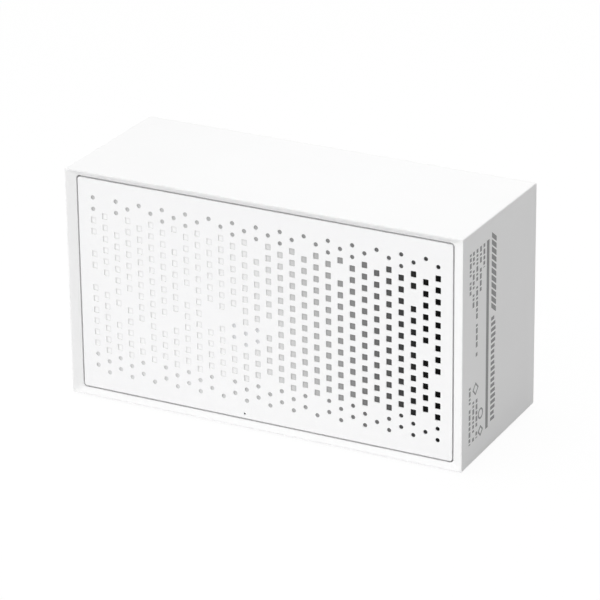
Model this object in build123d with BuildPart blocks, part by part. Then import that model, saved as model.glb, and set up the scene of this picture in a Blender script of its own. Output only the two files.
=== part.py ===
from build123d import *
import os

# A desktop wireless speaker: a white box with a pierced front, two drivers, a battery and its electronics.
#
# Millimetres. X runs across the front, Y from front to back, Z up. The origin is on the surface that
# the feet stand on, under the middle of the housing. Every sub-part is written to its own STEP file.

# ---------------------------------------------------------------- driving dimensions

width, depth, height = 150.0, 60.0, 84.0  # outside of the housing, at its front
draft = 1.0  # how far the top and the underside have come in by the back
side_wall, top_wall, back_wall = 3.61, 2.26, 2.5  # at the front; top_wall is the bottom's too
foot_drop = 0.6  # how far the feet stand below the housing
rim_depth = 1.3  # how far the rim slopes back from the housing's front edge to the panel
rim_land = 0.4  # flat left round the front, outside the slope
edge_radius, back_radius, opening_radius = 0.4, 1.2, 1.4

panel_gap = 0.58  # all round the front panel
sheet = 0.3  # thickness of the front panel's metal
flange_depth = 4.0  # the panel's turned-back edge
columns, rows = 30, 16
column_pitch, row_pitch = 4.5, 4.18
hole_shift = 0.25  # how far the field of holes stands to the right of the panel's middle
large_hole = (2.05, 2.25, 0.25)  # width, height and corner radius
small_hole, microphone_hole = 0.79, 0.36  # radii

cloth_thickness = 0.3
baffle_thickness, border_width = 3.0, 2.0
post_size, post_length = 9.0, 10.0

driver_x = 40.0
frame_size, frame_thickness = 52.0, 1.2
screw_square = 43.0  # between the driver's screws
basket_radius, basket_wall, basket_neck = 22.4, 0.8, 15.4
cone_radius, roll_radius, glue_radius = 18.0, 2.0, 25.6
film = 0.4  # thickness of the cone, the surround and the other formed sheets

key_pitch, key_radius, key_flange = 18.0, 4.5, 5.5
key_clearance = 0.15

board_x, board_width, board_depth, board_thickness = 19.0, 62.0, 36.0, 1.6
cell_radius, cell_length, cell_pitch = 9.2, 65.0, 19.0

small_screw_radius, small_head_radius, small_head_height = 1.0, 1.9, 1.2
large_screw_radius, large_head_radius, large_head_height = 1.3, 2.3, 1.6
pilot_clearance = 0.05

# ---------------------------------------------------------------- places worked out from them

front, back = -depth / 2, depth / 2
base = foot_drop
middle = base + height / 2  # height of the housing's centre
opening_width, opening_height = width - 2 * side_wall, height - 2 * top_wall
floor, ceiling = base + top_wall, base + height - top_wall
back_inside = back - back_wall
left_inside = -width / 2 + side_wall

panel_front = front + rim_depth
panel_back = panel_front + sheet
panel_width, panel_height = opening_width - 2 * panel_gap, opening_height - 2 * panel_gap
panel_radius = opening_radius - panel_gap
cloth_back = panel_back + cloth_thickness
border_front = cloth_back
baffle_front = -22.5
baffle_back = baffle_front + baffle_thickness
baffle_fit = 0.15  # between the baffle's border and the panel's turned-back edge
baffle_width = panel_width - 2 * (sheet + baffle_fit)
baffle_height = panel_height - 2 * (sheet + baffle_fit)

first_column = hole_shift - (columns - 1) * column_pitch / 2
top_row = middle + ((rows - 1) * row_pitch + row_pitch / 2) / 2

# Even columns stand half a pitch higher than odd ones. The first two places from each end hold
# small holes where they fall in the plain bands at the top and bottom, and some places are left blank.
blank_places = {
    0: (4, 7), 1: (0, 7), 2: (2, 10), 3: (8,), 4: (1, 11), 5: (14,), 6: (10,), 7: (2, 9), 8: (7,),
    10: (1, 8, 9), 11: (8, 14), 12: (8,), 14: (2,), 15: (8, 13), 18: (1,), 19: (14,), 21: (2,),
    24: (1, 14), 27: (3,), 28: (1, 8, 14), 29: (10,),
}
light_places = {12: (9, 10), 13: (9, 10), 14: (9, 10)}  # small holes over the status lights


def column_x(column):
    return first_column + column * column_pitch


def row_z(column, row):
    return top_row - row * row_pitch - (row_pitch / 2 if column % 2 else 0)


def is_small(column, row):
    at_the_top = row < (1 if column % 2 else 2)
    return at_the_top or row >= rows - 2 or row in light_places.get(column, ())


def hole_places(small):
    return [
        (column_x(column), row_z(column, row))
        for column in range(columns)
        for row in range(rows)
        if row not in blank_places.get(column, ()) and is_small(column, row) == small
    ]


def facing_front(y):
    """Sketch plane across the object at y: local x is X, local y is Z, and extruding goes forwards."""
    return Plane(origin=(0, y, 0), x_dir=(1, 0, 0), z_dir=(0, -1, 0))


def facing_left(x):
    """Sketch plane at x: local x is towards the front, local y is Z, and extruding goes left."""
    return Plane(origin=(x, 0, 0), x_dir=(0, -1, 0), z_dir=(-1, 0, 0))


def write(builder, name):
    builder.part.label = name
    export_step(builder.part, f"parts/{name}.step")


os.makedirs("parts", exist_ok=True)

# ---------------------------------------------------------------- housing

light_x, light_z = column_x(13), (row_z(12, 9) + row_z(13, 10)) / 2
microphone_x, microphone_z = light_x - 1.0, floor + 2.25
post_places = [
    (sign * (opening_width / 2 - post_size / 2), middle + up * (opening_height / 2 - post_size / 2))
    for sign in (-1, 1)
    for up in (-1, 1)
] + [(7.0, middle + up * (opening_height / 2 - post_size / 2)) for up in (-1, 1)]
baffle_screw_places = [
    (x - (1.0 if x > 20 else -1.0 if x < -20 else 0), z + (1.0 if z < middle else -1.0))
    for x, z in post_places
]
foot_places = [(sign * 58.0, up * 19.0) for sign in (-1, 1) for up in (-1, 1)]
foot_radius, foot_recess = 6.0, 1.3

key_places = [middle + step * key_pitch for step in (-1, 0, 1)]
key_board_screws = [middle - key_pitch / 2, middle + key_pitch / 2]
key_board_thickness, key_switch_height = 1.2, 2.0
key_board_left = left_inside + 4.2

board_top = 9.6
board_bottom = board_top - board_thickness
board_back = 26.5
usb_x, jack_x, switch_x, light_pipe_x = 40.0, 25.0, 8.0, -5.0
usb_width, usb_height = 7.5, 2.6
jack_z, jack_nose, jack_bore, jack_bore_length = board_top + 3.0, 2.9, 1.8, 14.0
switch_z, knob_width, knob_height, knob_travel = board_top + 1.8, 2.2, 2.0, 2.0
light_pipe_z, light_pipe_radius = board_top + 1.6, 1.0
port_recess = 1.4

ear_places = [(-17.5, 12.0), (55.5, 12.0)]
ear_front = 23.0
cradle_screws = [(sign * 40.0, z) for sign in (-1, 1) for z in (47.0, 76.0)]
cradle_back = 26.0
boss_radius = 3.0

with BuildPart() as housing:
    with BuildSketch(facing_left(width / 2)):
        with BuildLine():
            Polyline((-front, base), (-front, base + height), (-back, base + height - draft),
                     (-back, base + draft), close=True)
        make_face()
    extrude(amount=width)
    end_edges = [face.edges().sort_by(Axis.Z) for face in housing.faces().filter_by(Axis.X)]
    fillet([edges[place] for edges in end_edges for place in (0, -1)], edge_radius)
    fillet(housing.faces().sort_by(Axis.Y)[-1].edges(), back_radius)
    with BuildSketch(facing_front(front)):
        with Locations((0, middle)):
            RectangleRounded(opening_width, opening_height, opening_radius)
    extrude(amount=-(depth - back_wall), mode=Mode.SUBTRACT)
    with BuildSketch(facing_front(front)):
        with Locations((0, middle)):
            RectangleRounded(width - 2 * rim_land, height - 2 * rim_land, opening_radius)
    with BuildSketch(facing_front(panel_front)):
        with Locations((0, middle)):
            RectangleRounded(opening_width, opening_height, opening_radius)
    loft(mode=Mode.SUBTRACT)
    # posts that the baffle is screwed to
    with BuildSketch(facing_front(baffle_back)):
        with Locations(*post_places):
            Rectangle(post_size, post_size)
    extrude(amount=-post_length)
    with BuildSketch(facing_front(baffle_back)):
        with Locations(*baffle_screw_places):
            Circle(large_screw_radius + pilot_clearance)
    extrude(amount=-post_length + 1, mode=Mode.SUBTRACT)
    # bosses on the back wall
    with BuildSketch(facing_front(back_inside)):
        with Locations(*cradle_screws):
            Circle(boss_radius)
    extrude(amount=back_inside - cradle_back)
    with BuildSketch(facing_front(back_inside)):
        with Locations(*ear_places):
            Circle(boss_radius)
    extrude(amount=back_inside - ear_front - 1.5)
    with BuildSketch(facing_front(ear_front + 1.5)):
        with Locations(*cradle_screws, *ear_places):
            Circle(small_screw_radius + pilot_clearance)
    extrude(amount=-(back_inside - ear_front - 0.6), mode=Mode.SUBTRACT)
    # bosses for the key board
    with BuildSketch(facing_left(left_inside)):
        with Locations(*[(0, z) for z in key_board_screws]):
            Circle(2.4)
    extrude(amount=left_inside - key_board_left)
    with BuildSketch(facing_left(key_board_left)):
        with Locations(*[(0, z) for z in key_board_screws]):
            Circle(small_screw_radius + pilot_clearance)
    extrude(amount=4.4, mode=Mode.SUBTRACT)
    # button holes in the left end
    with BuildSketch(facing_left(left_inside)):
        with Locations(*[(0, z) for z in key_places]):
            Circle(key_radius + key_clearance)
    extrude(amount=side_wall, mode=Mode.SUBTRACT)
    # openings in the back for the sockets, the switch and the charging light
    with BuildSketch(facing_front(back)):
        with Locations((usb_x, board_top + usb_height / 2)):
            RectangleRounded(12.0, 8.0, 1.5)
        with Locations((switch_x + knob_travel / 2, switch_z)):
            RectangleRounded(10.0, 5.6, 1.5)
    extrude(amount=port_recess, mode=Mode.SUBTRACT)
    with BuildSketch(facing_front(back)):
        with Locations((usb_x, board_top + usb_height / 2)):
            RectangleRounded(usb_width + 0.5, usb_height + 0.5, 0.6)
        with Locations((switch_x + knob_travel / 2, switch_z)):
            RectangleRounded(knob_width + knob_travel + 0.5, knob_height + 0.5, 0.3)
        with Locations((jack_x, jack_z)):
            Circle(jack_nose + 0.15)
        with Locations((light_pipe_x, light_pipe_z)):
            Circle(light_pipe_radius + 0.05)
    extrude(amount=back_wall, mode=Mode.SUBTRACT)
    # seats of the feet
    with BuildSketch(Plane.XY.offset(base)):
        with Locations(*foot_places):
            Circle(foot_radius)
    extrude(amount=foot_recess, mode=Mode.SUBTRACT)
write(housing, "housing")

with BuildPart() as rubber_feet:
    with BuildSketch(Plane.XY):
        with Locations(*foot_places):
            Circle(foot_radius - 0.2)
    extrude(amount=foot_drop + foot_recess)
    chamfer(rubber_feet.faces().filter_by(Axis.Z).group_by(Axis.Z)[0].edges(), 0.3)
write(rubber_feet, "rubber_feet")

# ---------------------------------------------------------------- front panel and cloth

with BuildPart() as front_panel:
    with BuildSketch(facing_front(panel_front)):
        with Locations((0, middle)):
            RectangleRounded(panel_width, panel_height, panel_radius)
    extrude(amount=-flange_depth)
    with BuildSketch(facing_front(panel_back)):
        with Locations((0, middle)):
            RectangleRounded(panel_width - 2 * sheet, panel_height - 2 * sheet, panel_radius - sheet)
    extrude(amount=-flange_depth, mode=Mode.SUBTRACT)
    with BuildSketch(facing_front(panel_front)):
        with Locations(*hole_places(small=False)):
            RectangleRounded(*large_hole)
        with Locations(*hole_places(small=True)):
            Circle(small_hole)
        with Locations((microphone_x, microphone_z)):
            Circle(microphone_hole)
    extrude(amount=-sheet, mode=Mode.SUBTRACT)
write(front_panel, "front_panel")

guide_width, guide_height, guide_back = 13.0, 7.8, -25.5
guide_z = light_z - 0.2  # it covers the small holes over the lights and none of the large ones round them
guide_post, guide_post_pitch = 1.0, 4.5
with BuildPart() as grille_cloth:
    with BuildSketch(facing_front(panel_back)):
        with Locations((0, middle)):
            RectangleRounded(panel_width - 2 * sheet - 0.2, panel_height - 2 * sheet - 0.2, 0.8)
        with Locations((light_x, guide_z)):
            Rectangle(guide_width + 0.2, guide_height + 0.2, mode=Mode.SUBTRACT)
        with Locations((microphone_x, microphone_z)):
            Rectangle(2.0, 1.2, mode=Mode.SUBTRACT)
    extrude(amount=-cloth_thickness)
write(grille_cloth, "grille_cloth")

with BuildPart() as status_light_guide:
    with BuildSketch(facing_front(panel_back)):
        with Locations((light_x, guide_z)):
            RectangleRounded(guide_width, guide_height, 0.8)
    extrude(amount=-(guide_back - panel_back))
    with BuildSketch(facing_front(guide_back)):
        with Locations((light_x, guide_z)):
            with GridLocations(guide_post_pitch, guide_height - 1.4, 2, 2):
                Rectangle(guide_post, guide_post)
    extrude(amount=-1.0)
write(status_light_guide, "status_light_guide")

# ---------------------------------------------------------------- baffle

indicator_front, indicator_back = guide_back + 1.0, guide_back + 2.0
indicator_bottom, indicator_top, indicator_width = floor + 1.1, light_z + 7.5, 10.0
indicator_screws = [(light_x, floor + 9.0), (light_x, floor + 20.5)]

with BuildPart() as baffle:
    with BuildSketch(facing_front(border_front)):
        with Locations((0, middle)):
            RectangleRounded(baffle_width, baffle_height, 0.8)
    extrude(amount=-(baffle_back - border_front))
    with BuildSketch(facing_front(border_front)):
        with Locations((0, middle)):
            Rectangle(baffle_width - 2 * border_width, baffle_height - 2 * border_width)
        with Locations((light_x, floor + 5.0)):
            Rectangle(indicator_width + 1.0, 10.0)
    extrude(amount=-(baffle_front - border_front), mode=Mode.SUBTRACT)
    with BuildSketch(facing_front(baffle_front)):
        with Locations(*indicator_screws):
            Circle(2.2)
    extrude(amount=baffle_front - indicator_back)
    with BuildSketch(facing_front(baffle_front)):
        with Locations(*indicator_screws):
            Circle(small_screw_radius + pilot_clearance)
    extrude(amount=-(baffle_thickness - 0.6), both=True, mode=Mode.SUBTRACT)
    with BuildSketch(facing_front(baffle_front)):
        with Locations((-driver_x, middle), (driver_x, middle)):
            Circle(basket_radius + 0.2)
        with Locations(*baffle_screw_places):
            Circle(large_screw_radius + 0.2)
        with Locations((light_x, indicator_top - 3.0)):
            SlotOverall(7.0, 3.0)
    extrude(amount=-baffle_thickness, mode=Mode.SUBTRACT)
    with BuildSketch(facing_front(baffle_front)):
        for x in (-driver_x, driver_x):
            with Locations((x, middle)):
                with GridLocations(screw_square, screw_square, 2, 2):
                    Circle(small_screw_radius + pilot_clearance)
    extrude(amount=-baffle_thickness, mode=Mode.SUBTRACT)
write(baffle, "baffle")

with BuildPart() as baffle_gasket:
    with BuildSketch(facing_front(baffle_front)):
        with Locations((0, middle)):
            RectangleRounded(opening_width - 0.1, opening_height - 0.1, opening_radius)
            RectangleRounded(baffle_width + 0.1, baffle_height + 0.1, 0.8, mode=Mode.SUBTRACT)
    extrude(amount=-baffle_thickness)
write(baffle_gasket, "baffle_gasket")


def screw(radius, head_radius, head_height, length):
    """A pan-head screw with a cross in its head, standing on the origin with its thread below."""
    with BuildPart() as made:
        with BuildSketch(Plane.XY):
            Circle(head_radius)
        extrude(amount=head_height, taper=12)
        with BuildSketch(Plane.XY.offset(head_height)):
            Rectangle(head_radius * 1.1, head_radius * 0.26)
            Rectangle(head_radius * 0.26, head_radius * 1.1)
        extrude(amount=-head_height * 0.6, mode=Mode.SUBTRACT)
        with BuildSketch(Plane.XY):
            Circle(radius)
        extrude(amount=-(length - radius))
        with BuildSketch(Plane.XY.offset(-(length - radius))):
            Circle(radius)
        extrude(amount=-radius, taper=40)
    return made.part


def looking_back(x, y, z):
    """Place for something that stands on y and points forwards."""
    return Plane(origin=(x, y, z), x_dir=(1, 0, 0), z_dir=(0, -1, 0))


def small_screw(length):
    return screw(small_screw_radius, small_head_radius, small_head_height, length)


with BuildPart() as baffle_screws:
    with Locations(*[looking_back(x, baffle_front, z) for x, z in baffle_screw_places]):
        add(screw(large_screw_radius, large_head_radius, large_head_height, 11.0))
write(baffle_screws, "baffle_screws")

# ---------------------------------------------------------------- drivers

flange_front = baffle_front - frame_thickness
basket_floor = -12.0
basket_step, basket_bore, window_reach = -20.5, 8.0, 18.2
plate_front, plate_thickness, plate_radius = basket_floor + 1.2, 2.5, 16.0
magnet_front, magnet_thickness = plate_front + plate_thickness, 6.0
magnet_radius, magnet_bore = 17.0, 9.5
yoke_front, yoke_thickness = magnet_front + magnet_thickness, 2.5
pole_radius, gap_radius, coil_inside, coil_outside = 6.2, 7.2, 6.45, 6.95
former_wall, winding_front, winding_back = 0.2, -11.35, -7.85
cap_radius, cap_rise = 8.4, 2.2
cone_neck, cone_edge = -16.5, 16.4
neck = coil_inside + former_wall
ripple_count, ripple = 3, 0.6
spider_inside, spider_outside, spider_y = coil_outside + 0.05, 14.4, -13.4
wave = (spider_outside - spider_inside - 2.0) / (2 * ripple_count)
wave_points = [(spider_inside, spider_y)] + [
    (spider_inside + 1.0 + wave * step, spider_y + (ripple if step % 2 else -ripple))
    for step in range(2 * ripple_count + 1)
] + [(spider_outside, spider_y)]
terminal_reach, lug_height = 19.5, 8.0


def ring_section(inside, outside, y_front, y_back):
    """Half section of a ring, as a rectangle from its inner to its outer radius."""
    with Locations(((inside + outside) / 2, (y_front + y_back) / 2)):
        Rectangle(outside - inside, y_back - y_front)


for side, x in (("left", -driver_x), ("right", driver_x)):
    inwards = 1 if x < 0 else -1
    section = Plane(origin=(x, 0, middle), x_dir=(1, 0, 0), z_dir=(0, 0, 1))
    axis = Axis((x, 0, middle), (0, 1, 0))

    with BuildPart() as basket:
        with BuildSketch(section):
            with BuildLine():
                Polyline((basket_radius - basket_wall, flange_front), (basket_radius, flange_front),
                         (basket_radius, basket_step), (basket_neck, plate_front),
                         (basket_bore, plate_front), (basket_bore, basket_floor),
                         (basket_neck - basket_wall, basket_floor),
                         (basket_radius - basket_wall, basket_step - 0.4), close=True)
            make_face()
        revolve(axis=axis)
        with BuildSketch(facing_front(flange_front)):
            with Locations((x, middle)):
                RectangleRounded(frame_size, frame_size, 6.0)
                Circle(basket_radius - basket_wall / 2, mode=Mode.SUBTRACT)
                with GridLocations(screw_square, screw_square, 2, 2):
                    Circle(small_screw_radius + 0.15, mode=Mode.SUBTRACT)
        extrude(amount=-frame_thickness)
        with BuildSketch(facing_front(-20.0)):
            with Locations((x, middle)):
                with PolarLocations(window_reach, 6, start_angle=30):
                    Rectangle(3.6, 11.0)
        extrude(amount=-7.5, mode=Mode.SUBTRACT)
        with BuildSketch(facing_front(basket_floor)):
            with Locations((x + inwards * terminal_reach, middle)):
                Rectangle(5.0, lug_height + 0.4)
        extrude(amount=4.5)
    write(basket, f"{side}_driver_basket")

    with BuildPart() as gasket:
        with BuildSketch(facing_front(flange_front - film)):
            with Locations((x, middle)):
                Circle(glue_radius)
                Circle(basket_radius, mode=Mode.SUBTRACT)
        extrude(amount=1.0)
    write(gasket, f"{side}_driver_gasket")

    with BuildPart() as front_plate:
        with BuildSketch(section):
            ring_section(gap_radius, plate_radius, plate_front, magnet_front)
        revolve(axis=axis)
    write(front_plate, f"{side}_front_plate")

    with BuildPart() as magnet:
        with BuildSketch(section):
            ring_section(magnet_bore, magnet_radius, magnet_front, yoke_front)
        revolve(axis=axis)
        chamfer(magnet.edges().filter_by(GeomType.CIRCLE).group_by(SortBy.RADIUS)[-1], 0.4)
    write(magnet, f"{side}_magnet")

    with BuildPart() as yoke:
        with BuildSketch(section):
            ring_section(0, plate_radius, yoke_front, yoke_front + yoke_thickness)
            ring_section(0, pole_radius, plate_front, yoke_front)
        revolve(axis=axis)
        chamfer(yoke.edges().filter_by(GeomType.CIRCLE).sort_by(Axis.Y)[-1], 0.5)
    write(yoke, f"{side}_yoke")

    with BuildPart() as voice_coil:
        with BuildSketch(section):
            ring_section(coil_inside, neck, cone_neck - 0.8, winding_back + 0.4)
            ring_section(neck - 0.01, coil_outside, winding_front, winding_back)
        revolve(axis=axis)
    write(voice_coil, f"{side}_voice_coil")

    with BuildPart() as cone:
        with BuildSketch(section):
            with BuildLine():
                Polyline((neck, cone_neck), (neck + 0.6, cone_neck), (cone_edge + 0.3, flange_front + film),
                         (cone_radius, flange_front + film), (cone_radius, flange_front),
                         (cone_edge, flange_front), (neck, cone_neck - 0.5), close=True)
            make_face()
        revolve(axis=axis)
    write(cone, f"{side}_cone")

    cone_slope = (flange_front - cone_neck + 0.5) / (cone_edge - neck)
    cap_seat = cone_neck - 0.5 + (cap_radius - neck) * cone_slope
    cap_sphere = (cap_radius**2 + cap_rise**2) / (2 * cap_rise)
    with BuildPart() as dust_cap:
        with BuildSketch(section):
            with Locations((0, cap_seat - cap_rise + cap_sphere)):
                Circle(cap_sphere)
                Circle(cap_sphere - film, mode=Mode.SUBTRACT)
            with Locations((cap_radius / 2, cap_seat - cap_rise / 2)):
                Rectangle(cap_radius, cap_rise, mode=Mode.INTERSECT)
        revolve(axis=axis)
    write(dust_cap, f"{side}_dust_cap")

    with BuildPart() as surround:
        with BuildSketch(section):
            with Locations((cone_radius + roll_radius, flange_front)):
                Circle(roll_radius)
                Circle(roll_radius - film, mode=Mode.SUBTRACT)
                Rectangle(2 * roll_radius + 1, roll_radius + 1, align=(Align.CENTER, Align.MIN),
                          mode=Mode.SUBTRACT)
            ring_section(cone_edge, cone_radius + 0.2, flange_front - film, flange_front)
            ring_section(basket_radius - 0.6, glue_radius, flange_front - film, flange_front)
        revolve(axis=axis)
    write(surround, f"{side}_surround")

    with BuildPart() as spider:
        with BuildSketch(section):
            with BuildLine():
                Polyline(*wave_points, *[(r, y + film) for r, y in reversed(wave_points)], close=True)
            make_face()
            # the inner edge is glued to the coil former above the winding, the outer one to the basket
            ring_section(neck, spider_inside + 0.6, spider_y, spider_y + film)
            ring_section(spider_outside - 0.8, spider_outside, spider_y, basket_floor)
        revolve(axis=axis)
    write(spider, f"{side}_spider")

    with BuildPart() as terminals:
        with BuildSketch(facing_front(basket_floor)):
            with Locations((x + inwards * terminal_reach, middle)):
                Rectangle(4.4, lug_height)
        extrude(amount=-1.0)
        with BuildSketch(facing_front(basket_floor + 1.0)):
            with Locations((x + inwards * terminal_reach, middle)):
                with GridLocations(0, 5.4, 1, 2):
                    Rectangle(2.4, 2.0)
        extrude(amount=-1.2)
    write(terminals, f"{side}_terminals")

driver_screw_places = [
    looking_back(x + sx * screw_square / 2, flange_front, middle + sz * screw_square / 2)
    for x in (-driver_x, driver_x)
    for sx in (-1, 1)
    for sz in (-1, 1)
]
with BuildPart() as driver_screws:
    with Locations(*driver_screw_places):
        add(small_screw(4.0))
write(driver_screws, "driver_screws")

# ---------------------------------------------------------------- indicator board

with BuildPart() as indicator_board:
    with BuildSketch(facing_front(indicator_front)):
        with Locations((light_x, (indicator_bottom + indicator_top) / 2)):
            RectangleRounded(indicator_width, indicator_top - indicator_bottom, 0.6)
        with Locations(*indicator_screws):
            Circle(small_screw_radius + 0.1, mode=Mode.SUBTRACT)
    extrude(amount=-(indicator_back - indicator_front))
write(indicator_board, "indicator_board")

with BuildPart() as status_leds:
    with BuildSketch(facing_front(indicator_front)):
        with Locations(*[(column_x(c), row_z(c, r)) for c, rs in light_places.items() for r in rs]):
            Rectangle(0.8, 1.6)
    extrude(amount=0.7)
write(status_leds, "status_leds")

with BuildPart() as microphone:
    with BuildSketch(facing_front(indicator_front)):
        with Locations((microphone_x, microphone_z + 0.05)):
            Rectangle(3.0, 2.0)
    extrude(amount=1.1)
    with BuildSketch(facing_front(indicator_front - 1.1)):
        with Locations((microphone_x, microphone_z)):
            Circle(0.4)
    extrude(amount=-0.5, mode=Mode.SUBTRACT)
write(microphone, "microphone")

# ---------------------------------------------------------------- buttons on the left end

key_board_right = key_board_left + key_board_thickness
switch_face = key_board_left - key_switch_height

with BuildPart() as key_board:
    with BuildSketch(facing_left(key_board_right)):
        with Locations((0, middle)):
            RectangleRounded(12.0, 50.0, 1.0)
        with Locations(*[(0, z) for z in key_board_screws]):
            Circle(small_screw_radius + 0.1, mode=Mode.SUBTRACT)
    extrude(amount=key_board_thickness)
write(key_board, "key_board")

with BuildPart() as key_switches:
    with BuildSketch(facing_left(key_board_left)):
        with Locations(*[(0, z) for z in key_places]):
            RectangleRounded(6.0, 6.0, 0.4)
    extrude(amount=key_switch_height)
    with BuildSketch(facing_left(switch_face)):
        with Locations(*[(0, z) for z in key_places]):
            Circle(1.8)
    extrude(amount=-1.2, mode=Mode.SUBTRACT)
write(key_switches, "key_switches")

stem_radius, stem_reach = 1.5, 0.7
for name, z in zip(("volume_down_button", "play_button", "volume_up_button"), key_places):
    outer_face = -width / 2 + 0.1
    flange_left = left_inside + 0.1
    flange_right = flange_left + 0.8
    with BuildPart() as button:
        with BuildSketch(facing_left(flange_left)):
            with Locations((0, z)):
                Circle(key_radius)
        extrude(amount=flange_left - outer_face)
        fillet(button.edges().filter_by(GeomType.CIRCLE).sort_by(Axis.X)[0], 0.4)
        with BuildSketch(facing_left(flange_right)):
            with Locations((0, z)):
                Circle(key_flange)
        extrude(amount=flange_right - flange_left)
        with BuildSketch(facing_left(flange_right)):
            with Locations((0, z)):
                Circle(stem_radius)
        extrude(amount=-(switch_face + stem_reach - flange_right))
        # the sign on the cap is sunk into it: a bar, a bar and a cross, or a triangle
        with BuildSketch(facing_left(outer_face)):
            with Locations((0, z)):
                if name == "play_button":
                    RegularPolygon(1.7, 3)
                else:
                    Rectangle(3.2, 0.6)
                if name == "volume_up_button":
                    Rectangle(0.6, 3.2)
        extrude(amount=-0.25, mode=Mode.SUBTRACT)
    write(button, name)

# ---------------------------------------------------------------- main board and its sockets

board_front = board_back - board_depth
board_y = (board_front + board_back) / 2
stand_off_places = [
    (board_x + sx * (board_width / 2 - 3.5), board_y + sy * (board_depth / 2 - 5.0))
    for sx in (-1, 1)
    for sy in (-1, 1)
]
bracket_thickness = 1.5
bracket_top = floor + bracket_thickness

with BuildPart() as main_board:
    with BuildSketch(Plane.XY.offset(board_bottom)):
        with Locations((board_x, board_y)):
            RectangleRounded(board_width, board_depth, 1.0)
        with Locations(*stand_off_places):
            Circle(small_screw_radius + 0.1, mode=Mode.SUBTRACT)
    extrude(amount=board_thickness)
write(main_board, "main_board")

with BuildPart() as board_bracket:
    with BuildSketch(Plane.XY.offset(bracket_top)):
        with Locations((board_x, board_y)):
            RectangleRounded(board_width + 18.0, board_depth - 4.0, 2.0)
            with GridLocations(15.0, 0, 3, 1):
                RectangleRounded(10.0, 18.0, 2.0, mode=Mode.SUBTRACT)
    extrude(amount=-bracket_thickness)
    with BuildSketch(Plane.XY.offset(bracket_top)):
        with Locations(*stand_off_places):
            Circle(2.4)
    extrude(amount=board_bottom - bracket_top)
    with BuildSketch(Plane.XY.offset(board_bottom)):
        with Locations(*stand_off_places):
            Circle(small_screw_radius + pilot_clearance)
    extrude(amount=-4.0, mode=Mode.SUBTRACT)
    with BuildSketch(facing_front(ear_front + 1.5)):
        with Locations(*[(x, (bracket_top - bracket_thickness + 15.5) / 2) for x, _ in ear_places]):
            Rectangle(7.0, 15.5 - bracket_top + bracket_thickness)
        with Locations(*ear_places):
            Circle(small_screw_radius + 0.15, mode=Mode.SUBTRACT)
    extrude(amount=1.5)
write(board_bracket, "board_bracket")

with BuildPart() as bluetooth_module:
    with BuildSketch(Plane.XY.offset(board_top)):
        with Locations((board_x - 12.0, board_y - 8.0)):
            Rectangle(18.0, 12.0)
    extrude(amount=0.8)
    with BuildSketch(Plane.XY.offset(board_top + 0.8)):
        with Locations((board_x - 10.0, board_y - 8.0)):
            RectangleRounded(13.0, 10.6, 0.5)
    extrude(amount=1.6)
write(bluetooth_module, "bluetooth_module")

with BuildPart() as amplifier_chip:
    with BuildSketch(Plane.XY.offset(board_top)):
        with Locations((board_x + 9.0, board_y - 6.0)):
            Rectangle(6.2, 6.2)
            for sign in (-1, 1):
                with Locations((sign * 3.8, 0)):
                    with GridLocations(0, 0.8, 1, 7):
                        Rectangle(1.6, 0.4)
    extrude(amount=0.3)
    with BuildSketch(Plane.XY.offset(board_top + 0.3)):
        with Locations((board_x + 9.0, board_y - 6.0)):
            Rectangle(6.2, 6.2)
    extrude(amount=0.9)
write(amplifier_chip, "amplifier_chip")

capacitor_places = [(36.0, -5.5), (36.0, 1.5), (17.0, 12.0)]
inductor_places = [(34.0, 10.0), (40.5, 10.0)]
battery_plug, left_plug, right_plug = (-8.5, 13.5), (-8.5, 4.5), (46.5, 4.5)
key_plug, indicator_plug = (-3.0, 14.0), (20.5, -5.5)
connector_places = [battery_plug, left_plug, right_plug, key_plug, indicator_plug]
charge_led_y = 19.4
with BuildPart() as board_components:
    with BuildSketch(Plane.XY.offset(board_top)):
        with Locations(*capacitor_places):
            Circle(2.5)
    extrude(amount=7.0)
    with BuildSketch(Plane.XY.offset(board_top)):
        with Locations(*inductor_places):
            RectangleRounded(5.0, 5.0, 1.0)
    extrude(amount=2.8)
    with BuildSketch(Plane.XY.offset(board_top)):
        with Locations(*connector_places):
            Rectangle(4.5, 7.0)
            Rectangle(2.6, 5.6, mode=Mode.SUBTRACT)
    extrude(amount=4.6)
    with BuildSketch(Plane.XY.offset(board_top)):
        with Locations(*connector_places):
            Rectangle(4.5, 7.0)
        with Locations((light_pipe_x, charge_led_y)):
            Rectangle(1.6, 1.0)
    extrude(amount=0.8)
write(board_components, "board_components")

socket_back = back - port_recess - 0.3
with BuildPart() as usb_socket:
    with BuildSketch(facing_front(socket_back)):
        with Locations((usb_x, board_top + usb_height / 2)):
            RectangleRounded(usb_width, usb_height, 0.6)
            RectangleRounded(usb_width - 0.6, usb_height - 0.6, 0.4, mode=Mode.SUBTRACT)
    extrude(amount=5.6)
    with BuildSketch(facing_front(socket_back - 5.6)):
        with Locations((usb_x, board_top + usb_height / 2)):
            RectangleRounded(usb_width, usb_height, 0.6)
    extrude(amount=0.4)
    with BuildSketch(facing_front(socket_back - 0.8)):
        with Locations((usb_x, board_top + usb_height / 2 + 0.2)):
            Rectangle(4.0, 0.7)
    extrude(amount=4.8)
write(usb_socket, "usb_socket")

with BuildPart() as aux_jack:
    with BuildSketch(facing_front(back_inside - 0.2)):
        with Locations((jack_x, jack_z)):
            Rectangle(7.0, 6.0)
    extrude(amount=13.0)
    with BuildSketch(facing_front(back_inside - 0.2)):
        with Locations((jack_x, jack_z)):
            Circle(jack_nose)
    extrude(amount=-(back_wall + 0.1))
    with BuildSketch(facing_front(back)):
        with Locations((jack_x, jack_z)):
            Circle(jack_bore)
    extrude(amount=jack_bore_length + 0.1, mode=Mode.SUBTRACT)
write(aux_jack, "aux_jack")

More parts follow.
